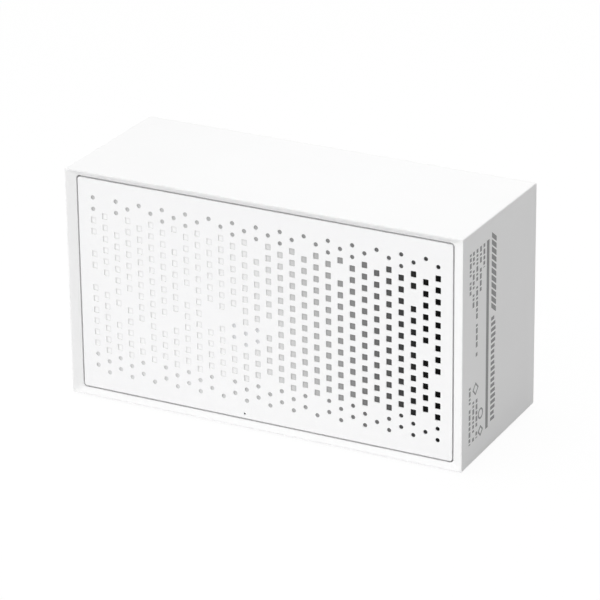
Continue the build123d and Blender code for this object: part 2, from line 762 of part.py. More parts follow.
with BuildPart() as power_switch_body:
    with BuildSketch(facing_front(back_inside - 0.3)):
        with Locations((switch_x + knob_travel / 2, switch_z)):
            Rectangle(9.0, 3.6)
    extrude(amount=4.4)
    with BuildSketch(facing_front(back_inside - 0.3)):
        with Locations((switch_x + knob_travel / 2, switch_z)):
            Rectangle(knob_width + knob_travel + 0.5, knob_height + 0.3)
    extrude(amount=2.0, mode=Mode.SUBTRACT)
write(power_switch_body, "power_switch_body")

with BuildPart() as power_switch_knob:
    with BuildSketch(facing_front(back - 0.3)):
        with Locations((switch_x, switch_z)):
            Rectangle(knob_width, knob_height)
    extrude(amount=back_wall + 1.8)
    with BuildSketch(facing_front(back - 0.3)):
        with Locations((switch_x, switch_z)):
            with GridLocations(0.7, 0, 2, 1):
                Rectangle(0.25, knob_height)
    extrude(amount=0.3, mode=Mode.SUBTRACT)
write(power_switch_knob, "power_switch_knob")

with BuildPart() as charge_light_pipe:
    with BuildSketch(facing_front(back - 0.1)):
        with Locations((light_pipe_x, light_pipe_z)):
            Circle(light_pipe_radius)
    extrude(amount=9.5)
    with BuildSketch(facing_front(back_inside - 0.1)):
        with Locations((light_pipe_x, light_pipe_z - 0.1)):
            Rectangle(3.0, 3.0)
    extrude(amount=2.0)
write(charge_light_pipe, "charge_light_pipe")

# ---------------------------------------------------------------- battery

battery_y = 15.6
cell_places = [middle + 9.4, middle + 9.4 + cell_pitch]
cradle_bottom, cradle_top = cell_places[0] - cell_radius - 1.6, ceiling - 0.6

with BuildPart() as battery_cells:
    for z in cell_places:
        with BuildSketch(facing_left(cell_length / 2)):
            with Locations((-battery_y, z)):
                Circle(cell_radius)
        extrude(amount=cell_length)
        with BuildSketch(facing_left(-cell_length / 2)):
            with Locations((-battery_y, z)):
                Circle(2.8)
        extrude(amount=0.8)
write(battery_cells, "battery_cells")

with BuildPart() as battery_cradle:
    with BuildSketch(facing_front(battery_y)):
        with Locations((0, (cradle_bottom + cradle_top) / 2)):
            Rectangle(cell_length + 6.0, cradle_top - cradle_bottom)
    extrude(amount=-(cradle_back - battery_y))
    for z in cell_places:
        with BuildSketch(facing_left(cell_length / 2 + 1.2)):
            with Locations((-battery_y, z)):
                Circle(cell_radius + 0.15)
        extrude(amount=cell_length + 2.4, mode=Mode.SUBTRACT)
    with BuildSketch(facing_front(cradle_back)):
        with Locations(*[(x - (1.0 if x > 0 else -1.0), z) for x, z in cradle_screws]):
            RectangleRounded(12.0, 8.0, 2.0)
    extrude(amount=2.0)
    with BuildSketch(facing_front(cradle_back)):
        with Locations(*cradle_screws):
            Circle(small_screw_radius + 0.15)
    extrude(amount=2.0, mode=Mode.SUBTRACT)
write(battery_cradle, "battery_cradle")

with BuildPart() as battery_strap:
    # a band round the front of both cells, with a foot on the cradle above and below them
    with BuildSketch(facing_left(5.0)):
        with Locations(*[(-battery_y, z) for z in cell_places]):
            Circle(cell_radius + 0.65)
        with Locations((-battery_y + cell_radius / 2, middle + 9.4 + cell_pitch / 2)):
            Rectangle(cell_radius + 1.3, cell_pitch)
        with Locations(*[(-battery_y, z) for z in cell_places]):
            Circle(cell_radius + 0.15, mode=Mode.SUBTRACT)
        with Locations((-battery_y + cell_radius / 2 - 0.25, middle + 9.4 + cell_pitch / 2)):
            Rectangle(cell_radius + 0.8, cell_pitch, mode=Mode.SUBTRACT)
        with Locations((-battery_y - 10.0, middle + 9.4 + cell_pitch / 2)):
            Rectangle(20.0, 3 * cell_pitch, mode=Mode.SUBTRACT)
    extrude(amount=10.0)
write(battery_strap, "battery_strap")

with BuildPart() as chassis_screws:
    with Locations(*[looking_back(x, cradle_back - 2.0, z) for x, z in cradle_screws]):
        add(small_screw(4.4))
    with Locations(*[looking_back(x, ear_front, z) for x, z in ear_places]):
        add(small_screw(5.0))
write(chassis_screws, "chassis_screws")

with BuildPart() as board_screws:
    with Locations(*[(x, y, board_top) for x, y in stand_off_places]):
        add(small_screw(5.0))
    with Locations(*[looking_back(x, indicator_front, z) for x, z in indicator_screws]):
        add(small_screw(3.6))
    with Locations(*[
        Plane(origin=(key_board_right, 0, z), x_dir=(0, 1, 0), z_dir=(1, 0, 0))
        for z in key_board_screws
    ]):
        add(small_screw(5.0))
write(board_screws, "board_screws")


# ---------------------------------------------------------------- leads inside the housing

lead_radius, lead_bend = 0.9, 4.5
lead_bottom = board_top + 0.8
cell_end = -cell_length / 2 - 0.8


def lead(*points):
    """A round lead through the points, its corners rounded."""
    with BuildPart() as made:
        with BuildLine():
            FilletPolyline(*points, radius=lead_bend)
        with BuildSketch(Plane(origin=points[0], z_dir=Vector(*points[1]) - Vector(*points[0]))):
            Circle(lead_radius)
        sweep()
    return made


write(lead((*battery_plug, lead_bottom), (*battery_plug, 33.0), (-42.0, battery_plug[1], 33.0),
           (-42.0, battery_plug[1], cell_places[0]), (cell_end, battery_plug[1], cell_places[0])),
      "battery_lead")

terminal_x = driver_x - terminal_reach
write(lead((*left_plug, lead_bottom), (*left_plug, middle), (-terminal_x, left_plug[1], middle),
           (-terminal_x, -11.0, middle)),
      "left_speaker_lead")

write(lead((*right_plug, lead_bottom), (*right_plug, 21.0), (terminal_x, right_plug[1], 21.0),
           (terminal_x, right_plug[1], middle), (terminal_x, -11.0, middle)),
      "right_speaker_lead")

write(lead((*indicator_plug, lead_bottom), (*indicator_plug, 22.0), (light_x, indicator_plug[1], 22.0),
           (light_x, indicator_plug[1], indicator_top - 3.0),
           (light_x, indicator_back, indicator_top - 3.0)),
      "indicator_lead")

write(lead((*key_plug, lead_bottom), (*key_plug, 20.0), (key_plug[0], 25.0, 20.0), (-58.0, 25.0, 20.0),
           (-58.0, 0, 20.0), (key_board_right, 0, 20.0)),
      "key_lead")
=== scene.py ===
# A white desktop speaker with a pierced front, set on a white studio sweep.
import bpy
import math
import random
from mathutils import Matrix, Vector


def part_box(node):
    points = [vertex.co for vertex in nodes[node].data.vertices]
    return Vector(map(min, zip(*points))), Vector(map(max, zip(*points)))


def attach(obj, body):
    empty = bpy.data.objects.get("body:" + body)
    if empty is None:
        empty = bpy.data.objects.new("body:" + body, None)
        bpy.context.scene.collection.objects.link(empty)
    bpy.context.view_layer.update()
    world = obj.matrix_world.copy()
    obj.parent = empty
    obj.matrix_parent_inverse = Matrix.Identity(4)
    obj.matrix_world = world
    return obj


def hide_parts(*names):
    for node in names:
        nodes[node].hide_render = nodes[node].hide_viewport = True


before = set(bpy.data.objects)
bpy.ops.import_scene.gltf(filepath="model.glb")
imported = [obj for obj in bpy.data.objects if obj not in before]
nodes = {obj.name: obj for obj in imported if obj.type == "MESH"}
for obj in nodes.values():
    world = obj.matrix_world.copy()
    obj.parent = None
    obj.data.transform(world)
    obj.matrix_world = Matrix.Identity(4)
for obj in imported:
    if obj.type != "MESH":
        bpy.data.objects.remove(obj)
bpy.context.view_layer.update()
print("frame loaded:", len(nodes), "nodes")

mm = 0.001


def linear(hexText):  # sRGB hex to the linear colour that Blender works in
    channels = [int(hexText[i:i + 2], 16) / 255 for i in (1, 3, 5)]
    return [c / 12.92 if c <= 0.04045 else ((c + 0.055) / 1.055) ** 2.4 for c in channels] + [1]


def per(size):  # pattern scale for features of this size in millimetres
    return 1000 / size


def addNode(tree, kind, values=None, links=None, **settings):
    node = tree.nodes.new(kind)
    for name, value in settings.items():
        setattr(node, name, value)
    for socket, value in (values or {}).items():
        node.inputs[socket].default_value = value
    for socket, source in (links or {}).items():
        tree.links.new(source, node.inputs[socket])
    return node


def swing(middle, by):  # a roughness that runs a little either side of its middle
    return {"To Min": middle - by, "To Max": middle + by}


def newMaterial(name, shine):  # a material with one shader, whose plain sockets come from shine
    material = bpy.data.materials.new(name)
    material.use_nodes = True
    tree = material.node_tree
    tree.nodes.clear()
    shader = addNode(tree, "ShaderNodeBsdfPrincipled", shine)
    addNode(tree, "ShaderNodeOutputMaterial", links={"Surface": shader.outputs["BSDF"]})
    place = addNode(tree, "ShaderNodeTexCoord").outputs["Object"]
    return material, tree, shader, place


# camera: a long lens a little over a metre from the middle of the housing

cameraView = {
    "azimuth": 27.427, "elevation": 23.310, "roll": -0.674,  # degrees, from straight in front
    "distance": 1.2866, "aside": -0.00042, "upwards": -0.0044,  # metres
    "lens": 224.17, "sensor": 36,  # millimetres
}


def placeCamera(view):
    azimuth, elevation, roll = (math.radians(view[k]) for k in ("azimuth", "elevation", "roll"))
    back = Vector((math.sin(azimuth) * math.cos(elevation),
                   -math.cos(azimuth) * math.cos(elevation),
                   math.sin(elevation)))
    level = (-back).cross(Vector((0, 0, 1))).normalized()
    upright = level.cross(-back)
    right = math.cos(roll) * level + math.sin(roll) * upright
    up = math.cos(roll) * upright - math.sin(roll) * level
    low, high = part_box("housing")
    spot = (low + high) / 2 + back * view["distance"] + right * view["aside"] + up * view["upwards"]
    bpy.ops.object.camera_add()
    camera = bpy.context.object
    camera.name = "camera"
    camera.data.lens = view["lens"]
    camera.data.sensor_width = view["sensor"]
    camera.data.clip_end = 20
    camera.matrix_world = Matrix.Translation(spot) @ Matrix((right, up, back)).transposed().to_4x4()
    bpy.context.scene.camera = camera


placeCamera(cameraView)
print("camera placed")

# studio: a light tent, brightest low down in front on the left, a soft box overhead, and a white sweep

studio = {
    "tent": 1.536, "tentLeft": 0.672, "tentFront": 0.672, "tentTop": -1.2, "tentLeast": 0.04,  # radiance
    "boxPower": 1.1, "boxSize": 0.25, "boxPlace": (0.04, 0.05, 0.6), "boxAim": (0.03, -0.03, 0.05),
    "backdrop": 1.0,
    "floorWhite": "#CBCBCB", "floorSize": 8, "shadowShare": 0.1, "floorGlow": 1.05,
}


def seenDirectly(tree):  # one where the camera, a reflection or a clear part looks at the surface
    path = addNode(tree, "ShaderNodeLightPath")
    seen = path.outputs["Is Camera Ray"]
    for kind in ("Is Glossy Ray", "Is Transmission Ray"):
        seen = addNode(tree, "ShaderNodeMath", links={0: seen, 1: path.outputs[kind]},
                       operation="MAXIMUM").outputs[0]
    return seen


def lightStudio(values):
    scene = bpy.context.scene
    scene.view_settings.view_transform = "Standard"

    bpy.ops.object.light_add(type="AREA", location=values["boxPlace"])
    softBox = bpy.context.object
    softBox.name = "softBox"
    softBox.data.energy = values["boxPower"]
    softBox.data.size = values["boxSize"]
    softBox.visible_glossy = False  # it lights the top evenly, with no hot patch on the satin plastic
    aim = Vector(values["boxAim"]) - Vector(values["boxPlace"])
    softBox.rotation_euler = aim.to_track_quat("-Z", "Y").to_euler()

    world = bpy.data.worlds.new("lightTent")
    scene.world = world
    world.use_nodes = True
    tree = world.node_tree
    tree.nodes.clear()
    direction = addNode(tree, "ShaderNodeTexCoord").outputs["Generated"]
    towards = (-values["tentLeft"], -values["tentFront"], values["tentTop"])
    slope = addNode(tree, "ShaderNodeVectorMath", {1: towards}, {0: direction}, operation="DOT_PRODUCT")
    tent = addNode(tree, "ShaderNodeMath", {1: values["tent"]}, {0: slope.outputs["Value"]})
    tent = addNode(tree, "ShaderNodeMath", {1: values["tentLeast"]}, {0: tent.outputs[0]},
                   operation="MAXIMUM")
    strength = addNode(tree, "ShaderNodeMix", {3: values["backdrop"]},
                       {0: seenDirectly(tree), 2: tent.outputs[0]})
    sky = addNode(tree, "ShaderNodeBackground", {"Color": (1, 1, 1, 1)}, {"Strength": strength.outputs[0]})
    addNode(tree, "ShaderNodeOutputWorld", links={"Surface": sky.outputs[0]})


def layFloor(values):
    bpy.ops.mesh.primitive_plane_add(size=values["floorSize"])
    floor = bpy.context.object
    floor.name = "floor"
    material = bpy.data.materials.new("paperSweep")
    material.use_nodes = True
    tree = material.node_tree
    tree.nodes.clear()
    share = addNode(tree, "ShaderNodeMath", {1: 1 - values["shadowShare"]}, {0: seenDirectly(tree)},
                    operation="MULTIPLY")
    paper = addNode(tree, "ShaderNodeBsdfDiffuse", {"Color": linear(values["floorWhite"])})
    glow = addNode(tree, "ShaderNodeEmission", {"Color": (1, 1, 1, 1), "Strength": values["floorGlow"]})
    mixed = addNode(tree, "ShaderNodeMixShader", links={0: share.outputs[0], 1: paper.outputs[0],
                                                        2: glow.outputs[0]})
    addNode(tree, "ShaderNodeOutputMaterial", links={"Surface": mixed.outputs[0]})
    floor.data.materials.append(material)


lightStudio(studio)
layFloor(studio)
print("studio lit")

# finishes

def mouldedFinish(name, look):
    # plastic, rubber and paint: slow clouds of tone, and the fine grain of the tool or the spray
    material, tree, shader, place = newMaterial(name, {"IOR": look.get("ior", 1.5)})
    clouds = addNode(tree, "ShaderNodeTexNoise", {"Scale": per(look["cloud"]), "Detail": 3},
                     {"Vector": place})
    colour = addNode(tree, "ShaderNodeMix", {6: linear(look["dark"]), 7: linear(look["light"])},
                     {0: clouds.outputs[0]}, data_type="RGBA")
    rough = addNode(tree, "ShaderNodeMapRange", swing(look["rough"], 0.05), {"Value": clouds.outputs[0]})
    grain = addNode(tree, "ShaderNodeTexNoise", {"Scale": per(look["grain"]), "Detail": 2},
                    {"Vector": place})
    bump = addNode(tree, "ShaderNodeBump", {"Strength": look["bump"], "Distance": look["depth"] * mm},
                   {"Height": grain.outputs[0]})
    tree.links.new(colour.outputs[2], shader.inputs["Base Color"])
    tree.links.new(rough.outputs[0], shader.inputs["Roughness"])
    tree.links.new(bump.outputs[0], shader.inputs["Normal"])
    return material


def metalFinish(name, look):
    # plated or rolled metal: fine scratches along the part, and patches where the plating is duller
    material, tree, shader, place = newMaterial(name, {"Metallic": 1})
    stretched = addNode(tree, "ShaderNodeMapping", {"Scale": look["stretch"]}, {"Vector": place})
    scratches = addNode(tree, "ShaderNodeTexNoise", {"Scale": per(look["scratch"]), "Detail": 4},
                        {"Vector": stretched.outputs[0]})
    patches = addNode(tree, "ShaderNodeTexNoise", {"Scale": per(look["patch"]), "Detail": 2},
                      {"Vector": place})
    colour = addNode(tree, "ShaderNodeMix", {6: linear(look["dark"]), 7: linear(look["light"])},
                     {0: patches.outputs[0]}, data_type="RGBA")
    rough = addNode(tree, "ShaderNodeMapRange", swing(look["rough"], 0.08), {"Value": scratches.outputs[0]})
    bump = addNode(tree, "ShaderNodeBump", {"Strength": look["bump"], "Distance": 0.01 * mm},
                   {"Height": scratches.outputs[0]})
    tree.links.new(colour.outputs[2], shader.inputs["Base Color"])
    tree.links.new(rough.outputs[0], shader.inputs["Roughness"])
    tree.links.new(bump.outputs[0], shader.inputs["Normal"])
    return material


def threadWaves(tree, place, look):
    # two crossing sets of threads: near one at a crossing that stands up, near minus one where it dips
    axes = addNode(tree, "ShaderNodeSeparateXYZ", links={0: place})
    turn = 2 * math.pi / (2 * look["thread"] * mm)
    waves = []
    for axis in look["across"]:
        angle = addNode(tree, "ShaderNodeMath", {1: turn}, {0: axes.outputs[axis]}, operation="MULTIPLY")
        waves.append(addNode(tree, "ShaderNodeMath", links={0: angle.outputs[0]}, operation="SINE"))
    woven = addNode(tree, "ShaderNodeMath", links={0: waves[0].outputs[0], 1: waves[1].outputs[0]},
                    operation="MULTIPLY")
    return woven.outputs[0]


def wovenFinish(name, look):
    # plain weave with painted shade: the raised crossings are painted lighter and the gaps between the
    # threads darker
    material, tree, shader, place = newMaterial(name, {"Roughness": look["rough"], "Sheen Weight": 0.15})
    woven = threadWaves(tree, place, look)
    share = addNode(tree, "ShaderNodeMapRange", {"From Min": -1}, {"Value": woven})
    colour = addNode(tree, "ShaderNodeMix", {6: linear(look["dark"]), 7: linear(look["light"])},
                     {0: share.outputs[0]}, data_type="RGBA")
    bump = addNode(tree, "ShaderNodeBump", {"Strength": look["bump"], "Distance": look["depth"] * mm},
                   {"Height": woven})
    tree.links.new(colour.outputs[2], shader.inputs["Base Color"])
    tree.links.new(bump.outputs[0], shader.inputs["Normal"])
    return material


def edgeShade(tree, axes, look):
    # one behind the middle of each large hole, and less towards its edges, where the sheet keeps the light
    # off; odd columns of holes stand half a pitch lower than even ones
    firstX, firstZ = look["firstHole"]
    pitchX, pitchZ = (pitch * mm for pitch in look["holePitch"])
    halfX, halfZ = (size / 2 * mm for size in look["holeSize"])
    alongX = addNode(tree, "ShaderNodeMath", {1: firstX * mm}, {0: axes.outputs["X"]}, operation="SUBTRACT")
    alongZ = addNode(tree, "ShaderNodeMath", {1: firstZ * mm}, {0: axes.outputs["Z"]}, operation="SUBTRACT")
    offEven = addNode(tree, "ShaderNodeMath", {1: pitchX}, {0: alongX.outputs[0]}, operation="PINGPONG")
    odd = addNode(tree, "ShaderNodeMath", {1: pitchX / 2}, {0: offEven.outputs[0]},
                  operation="GREATER_THAN")
    aside = addNode(tree, "ShaderNodeMath", {1: pitchX / 2}, {0: alongX.outputs[0]}, operation="PINGPONG")
    upEven = addNode(tree, "ShaderNodeMath", {1: pitchZ / 2}, {0: alongZ.outputs[0]}, operation="PINGPONG")
    upOdd = addNode(tree, "ShaderNodeMath", {0: pitchZ / 2}, {1: upEven.outputs[0]}, operation="SUBTRACT")
    up = addNode(tree, "ShaderNodeMix", links={0: odd.outputs[0], 2: upEven.outputs[0],
                                               3: upOdd.outputs[0]})
    asideShare = addNode(tree, "ShaderNodeMath", {1: halfX}, {0: aside.outputs[0]}, operation="DIVIDE")
    upShare = addNode(tree, "ShaderNodeMath", {1: halfZ}, {0: up.outputs[0]}, operation="DIVIDE")
    outwards = addNode(tree, "ShaderNodeMath", links={0: asideShare.outputs[0], 1: upShare.outputs[0]},
                       operation="MAXIMUM")
    shade = addNode(tree, "ShaderNodeMapRange",
                    {"From Min": look["shadeFrom"], "To Min": 1, "To Max": look["shadeLeast"]},
                    {"Value": outwards.outputs[0]})
    return shade.outputs[0]


def clothWithPaintedLight(name, look):
    # acoustic cloth seen through the holes, with painted light: white at the left fading to black at the
    # right, a greyer painted fade of its own in each of the bands behind the small holes, painted shade
    # round the edges of the large holes, and a fine plain weave all over with painted shade between the
    # threads
    material, tree, shader, place = newMaterial(name, {"Roughness": look["rough"],
                                                       "Specular IOR Level": look["gloss"]})
    axes = addNode(tree, "ShaderNodeSeparateXYZ", links={0: place})
    along = addNode(tree, "ShaderNodeMapRange",
                    {"From Min": look["left"] * mm, "From Max": look["right"] * mm},
                    {"Value": axes.outputs["X"]})
    # each fade is painted light: lighter at the left of the cloth, darker at the right
    fades = []
    for stops in (look["middlePaintedLight"], look["topPaintedLight"], look["bottomPaintedLight"]):
        ramp = addNode(tree, "ShaderNodeValToRGB", links={0: along.outputs[0]})
        points = ramp.color_ramp.elements
        for share, colour in stops.items():
            point = {0: points[0], 1: points[-1]}.get(share) or points.new(share)
            point.color = linear(colour)
        fades.append(ramp.outputs["Color"])
    fades[0] = addNode(tree, "ShaderNodeVectorMath", links={0: fades[0], 1: edgeShade(tree, axes, look)},
                       operation="MULTIPLY").outputs[0]
    lowest, highest = (height * mm for height in look["largeRows"])
    above = addNode(tree, "ShaderNodeMath", {1: highest}, {0: axes.outputs["Z"]}, operation="GREATER_THAN")
    below = addNode(tree, "ShaderNodeMath", {1: lowest}, {0: axes.outputs["Z"]}, operation="LESS_THAN")
    fade = addNode(tree, "ShaderNodeMix", links={0: above.outputs[0], 6: fades[0], 7: fades[1]},
                   data_type="RGBA")
    fade = addNode(tree, "ShaderNodeMix", links={0: below.outputs[0], 6: fade.outputs[2], 7: fades[2]},
                   data_type="RGBA")
    woven = threadWaves(tree, place, look)
    shade = addNode(tree, "ShaderNodeMapRange", {"From Min": -1, "To Min": look["gapShade"]},
                    {"Value": woven})
    colour = addNode(tree, "ShaderNodeVectorMath", links={0: fade.outputs[2], 1: shade.outputs[0]},
                     operation="MULTIPLY")
    bump = addNode(tree, "ShaderNodeBump", {"Strength": look["bump"], "Distance": look["depth"] * mm},
                   {"Height": woven})
    tree.links.new(colour.outputs[0], shader.inputs["Base Color"])
    tree.links.new(bump.outputs[0], shader.inputs["Normal"])
    return material


def foamFinish(name, look):
    # closed-cell foam: a skin of small round cells
    material, tree, shader, place = newMaterial(name, {"Roughness": look["rough"]})
    cells = addNode(tree, "ShaderNodeTexVoronoi", {"Scale": per(look["cell"])}, {"Vector": place})
    colour = addNode(tree, "ShaderNodeMix", {6: linear(look["dark"]), 7: linear(look["light"])},
                     {0: cells.outputs["Distance"]}, data_type="RGBA")
    bump = addNode(tree, "ShaderNodeBump", {"Strength": 0.5, "Distance": 0.1 * mm},
                   {"Height": cells.outputs["Distance"]})
    tree.links.new(colour.outputs[2], shader.inputs["Base Color"])
    tree.links.new(bump.outputs[0], shader.inputs["Normal"])
    return material


def clearFinish(name, look):
    # acrylic: mostly lets the light through, with a slow haze
    material, tree, shader, place = newMaterial(name, {
        "IOR": 1.49, "Transmission Weight": look["clear"], "Coat Weight": look.get("coat", 0)})
    haze = addNode(tree, "ShaderNodeTexNoise", {"Scale": per(look["haze"]), "Detail": 2},
                   {"Vector": place})
    colour = addNode(tree, "ShaderNodeMix", {6: linear(look["dark"]), 7: linear(look["light"])},
                     {0: haze.outputs[0]}, data_type="RGBA")
    rough = addNode(tree, "ShaderNodeMapRange", swing(look["rough"], 0.04), {"Value": haze.outputs[0]})
    tree.links.new(colour.outputs[2], shader.inputs["Base Color"])
    tree.links.new(rough.outputs[0], shader.inputs["Roughness"])
    return material


def boardFinish(name, look):
    # glass-epoxy board: green mask, and in each few millimetres copper tracks run one way or the other
    material, tree, shader, place = newMaterial(name, {"Roughness": 0.35, "Coat Weight": 0.3})
    tile = look["tile"] * mm
    snapped = addNode(tree, "ShaderNodeVectorMath", {1: (tile, tile, tile)}, {0: place}, operation="SNAP")
    chance = addNode(tree, "ShaderNodeTexWhiteNoise", links={"Vector": snapped.outputs[0]})
    turned = addNode(tree, "ShaderNodeMath", {1: 0.5}, {0: chance.outputs[0]}, operation="GREATER_THAN")
    axes = addNode(tree, "ShaderNodeSeparateXYZ", links={0: place})
    first, second = look["across"]
    across = addNode(tree, "ShaderNodeMix", links={0: turned.outputs[0], 2: axes.outputs[first],
                                                   3: axes.outputs[second]})
    angle = addNode(tree, "ShaderNodeMath", {1: 2 * math.pi / (look["track"] * mm)},
                    {0: across.outputs[0]}, operation="MULTIPLY")
    wave = addNode(tree, "ShaderNodeMath", links={0: angle.outputs[0]}, operation="SINE")
    tracks = addNode(tree, "ShaderNodeMapRange", {"From Min": 0.2, "From Max": 0.5},
                     {"Value": wave.outputs[0]})
    colour = addNode(tree, "ShaderNodeMix", {6: linear(look["mask"]), 7: linear(look["copper"])},
                     {0: tracks.outputs[0]}, data_type="RGBA")
    vias = addNode(tree, "ShaderNodeTexVoronoi", {"Scale": per(look["tile"])}, {"Vector": place})
    pads = addNode(tree, "ShaderNodeMath", {1: look["pad"] / look["tile"]}, {0: vias.outputs["Distance"]},
                   operation="LESS_THAN")
    colour = addNode(tree, "ShaderNodeMix", {7: linear(look["gold"])},
                     {0: pads.outputs[0], 6: colour.outputs[2]}, data_type="RGBA")
    bump = addNode(tree, "ShaderNodeBump", {"Strength": 0.4, "Distance": 0.03 * mm},
                   {"Height": tracks.outputs[0]})
    tree.links.new(colour.outputs[2], shader.inputs["Base Color"])
    tree.links.new(pads.outputs[0], shader.inputs["Metallic"])
    tree.links.new(bump.outputs[0], shader.inputs["Normal"])
    return material


def windingFinish(name, look):
    # enamelled copper wire wound in a tight layer: each turn is a small round ridge, painted lighter on its
    # crown and darker in the groove between turns as painted shade
    material, tree, shader, place = newMaterial(name, {"Metallic": 1})
    axes = addNode(tree, "ShaderNodeSeparateXYZ", links={0: place})
    angle = addNode(tree, "ShaderNodeMath", {1: 2 * math.pi / (look["wire"] * mm)}, {0: axes.outputs["Y"]},
                    operation="MULTIPLY")
    turns = addNode(tree, "ShaderNodeMath", links={0: angle.outputs[0]}, operation="SINE")
    share = addNode(tree, "ShaderNodeMapRange", {"From Min": -1}, {"Value": turns.outputs[0]})
    colour = addNode(tree, "ShaderNodeMix", {6: linear(look["dark"]), 7: linear(look["light"])},
                     {0: share.outputs[0]}, data_type="RGBA")
    rough = addNode(tree, "ShaderNodeMapRange", {"To Min": 0.5, "To Max": 0.3}, {"Value": share.outputs[0]})
    bump = addNode(tree, "ShaderNodeBump", {"Strength": 0.8, "Distance": 0.05 * mm},
                   {"Height": turns.outputs[0]})
    tree.links.new(colour.outputs[2], shader.inputs["Base Color"])
    tree.links.new(rough.outputs[0], shader.inputs["Roughness"])
    tree.links.new(bump.outputs[0], shader.inputs["Normal"])
    return material


def pulpFinish(name, look):
    # pressed paper pulp: short tangled fibres under a thin black coating
    material, tree, shader, place = newMaterial(name, {"Roughness": look["rough"]})
    fibres = addNode(tree, "ShaderNodeTexNoise",
                     {"Scale": per(look["fibre"]), "Detail": 6, "Distortion": 2.5}, {"Vector": place})
    colour = addNode(tree, "ShaderNodeMix", {6: linear(look["dark"]), 7: linear(look["light"])},
                     {0: fibres.outputs[0]}, data_type="RGBA")
    bump = addNode(tree, "ShaderNodeBump", {"Strength": 0.5, "Distance": 0.08 * mm},
                   {"Height": fibres.outputs[0]})
    tree.links.new(colour.outputs[2], shader.inputs["Base Color"])
    tree.links.new(bump.outputs[0], shader.inputs["Normal"])
    return material


whiteAbs = mouldedFinish("whiteAbs", {  # satin ABS from a fine spark-eroded tool: even, barely grained
    "dark": "#EEEEEE", "light": "#F2F2F2", "cloud": 40, "grain": 0.25, "bump": 0.12, "depth": 0.02,
    "rough": 0.42, "ior": 1.54})
powderCoat = mouldedFinish("powderCoat", {  # white powder coat baked on steel: a faint orange peel
    "dark": "#F1F1F2", "light": "#F4F4F4", "cloud": 60, "grain": 0.7, "bump": 0.1, "depth": 0.03,
    "rough": 0.45})
holeWallPaintedLight = mouldedFinish("holeWallPaintedLight", {  # the same coat painted whiter on the walls of the large holes: painted light against the shade there
    "dark": "#FBFBFB", "light": "#FDFDFD", "cloud": 60, "grain": 0.7, "bump": 0.1, "depth": 0.03,
    "rough": 0.45})
printingInk = mouldedFinish("printingInk", {  # pad-printed grey ink: matt, a little uneven in strength
    "dark": "#8C8C8C", "light": "#9B9B9B", "cloud": 1.5, "grain": 0.15, "bump": 0.1, "depth": 0.01,
    "rough": 0.6})
greyRubber = mouldedFinish("greyRubber", {  # moulded silicone rubber: matt, dusty grey
    "dark": "#7C7C7E", "light": "#8B8B8D", "cloud": 4, "grain": 0.2, "bump": 0.3, "depth": 0.03,
    "rough": 0.8})
greyAbs = mouldedFinish("greyAbs", {  # moulded ABS of an inner frame: mid grey with flow clouds
    "dark": "#9B9B9E", "light": "#A8A8AA", "cloud": 12, "grain": 0.3, "bump": 0.25, "depth": 0.03,
    "rough": 0.55})
blackAbs = mouldedFinish("blackAbs", {  # moulded ABS: deep black that greys at a glancing angle
    "dark": "#161617", "light": "#232325", "cloud": 10, "grain": 0.3, "bump": 0.3, "depth": 0.03,
    "rough": 0.5})
chipResin = mouldedFinish("chipResin", {  # moulded epoxy of a chip: near black with a sandy skin
    "dark": "#1A1A1B", "light": "#262627", "cloud": 2, "grain": 0.08, "bump": 0.4, "depth": 0.01,
    "rough": 0.6})
blackPaint = mouldedFinish("blackPaint", {  # sprayed black enamel on pressed steel: soft sheen
    "dark": "#121213", "light": "#1D1D1F", "cloud": 9, "grain": 0.5, "bump": 0.15, "depth": 0.03,
    "rough": 0.35})
ferrite = mouldedFinish("ferrite", {  # sintered ceramic magnet: charcoal, chalky and finely pitted
    "dark": "#2B2B2D", "light": "#3A3A3C", "cloud": 5, "grain": 0.2, "bump": 0.6, "depth": 0.05,
    "rough": 0.75})
butylRubber = mouldedFinish("butylRubber", {  # moulded butyl of the roll surround: dull soft black
    "dark": "#101011", "light": "#1A1A1B", "cloud": 6, "grain": 0.3, "bump": 0.3, "depth": 0.03,
    "rough": 0.65})
leadJacket = mouldedFinish("leadJacket", {  # extruded soft vinyl: charcoal with a waxy sheen
    "dark": "#1F2022", "light": "#2C2D30", "cloud": 8, "grain": 0.6, "bump": 0.2, "depth": 0.04,
    "rough": 0.45})
shrinkSleeve = mouldedFinish("shrinkSleeve", {  # heat-shrunk film on a cell: glossy blue, drawn tight
    "dark": "#1F4E9A", "light": "#2B62B4", "cloud": 15, "grain": 2.5, "bump": 0.15, "depth": 0.05,
    "rough": 0.22})
nylonWhite = mouldedFinish("nylonWhite", {  # natural nylon of a plug housing: milky, slightly warm
    "dark": "#E4E0D4", "light": "#EFEBE0", "cloud": 3, "grain": 0.3, "bump": 0.2, "depth": 0.02,
    "rough": 0.45})
phenolic = mouldedFinish("phenolic", {  # paper phenolic strip: brown with a pressed grain
    "dark": "#6B4327", "light": "#8A5A36", "cloud": 2, "grain": 0.25, "bump": 0.3, "depth": 0.02,
    "rough": 0.5})
polyimide = mouldedFinish("polyimide", {  # polyimide film of a coil former: clear amber brown
    "dark": "#A8651C", "light": "#C07A2A", "cloud": 4, "grain": 0.6, "bump": 0.1, "depth": 0.01,
    "rough": 0.25})
phosphorLens = mouldedFinish("phosphorLens", {  # moulded silicone over a light chip: pale yellow
    "dark": "#D9D08C", "light": "#EFE9B8", "cloud": 0.6, "grain": 0.1, "bump": 0.1, "depth": 0.01,
    "rough": 0.25})
zincPlate = metalFinish("zincPlate", {  # bright zinc on steel: bluish silver, a little patchy
    "dark": "#A9ACAE", "light": "#C6C9CB", "stretch": (1, 6, 1), "scratch": 0.4, "patch": 2, "rough": 0.3,
    "bump": 0.1})
tinPlate = metalFinish("tinPlate", {  # tinned steel can: soft satin silver with rolling marks
    "dark": "#B4B5B4", "light": "#CDCDCB", "stretch": (6, 1, 1), "scratch": 0.3, "patch": 3, "rough": 0.32,
    "bump": 0.1})
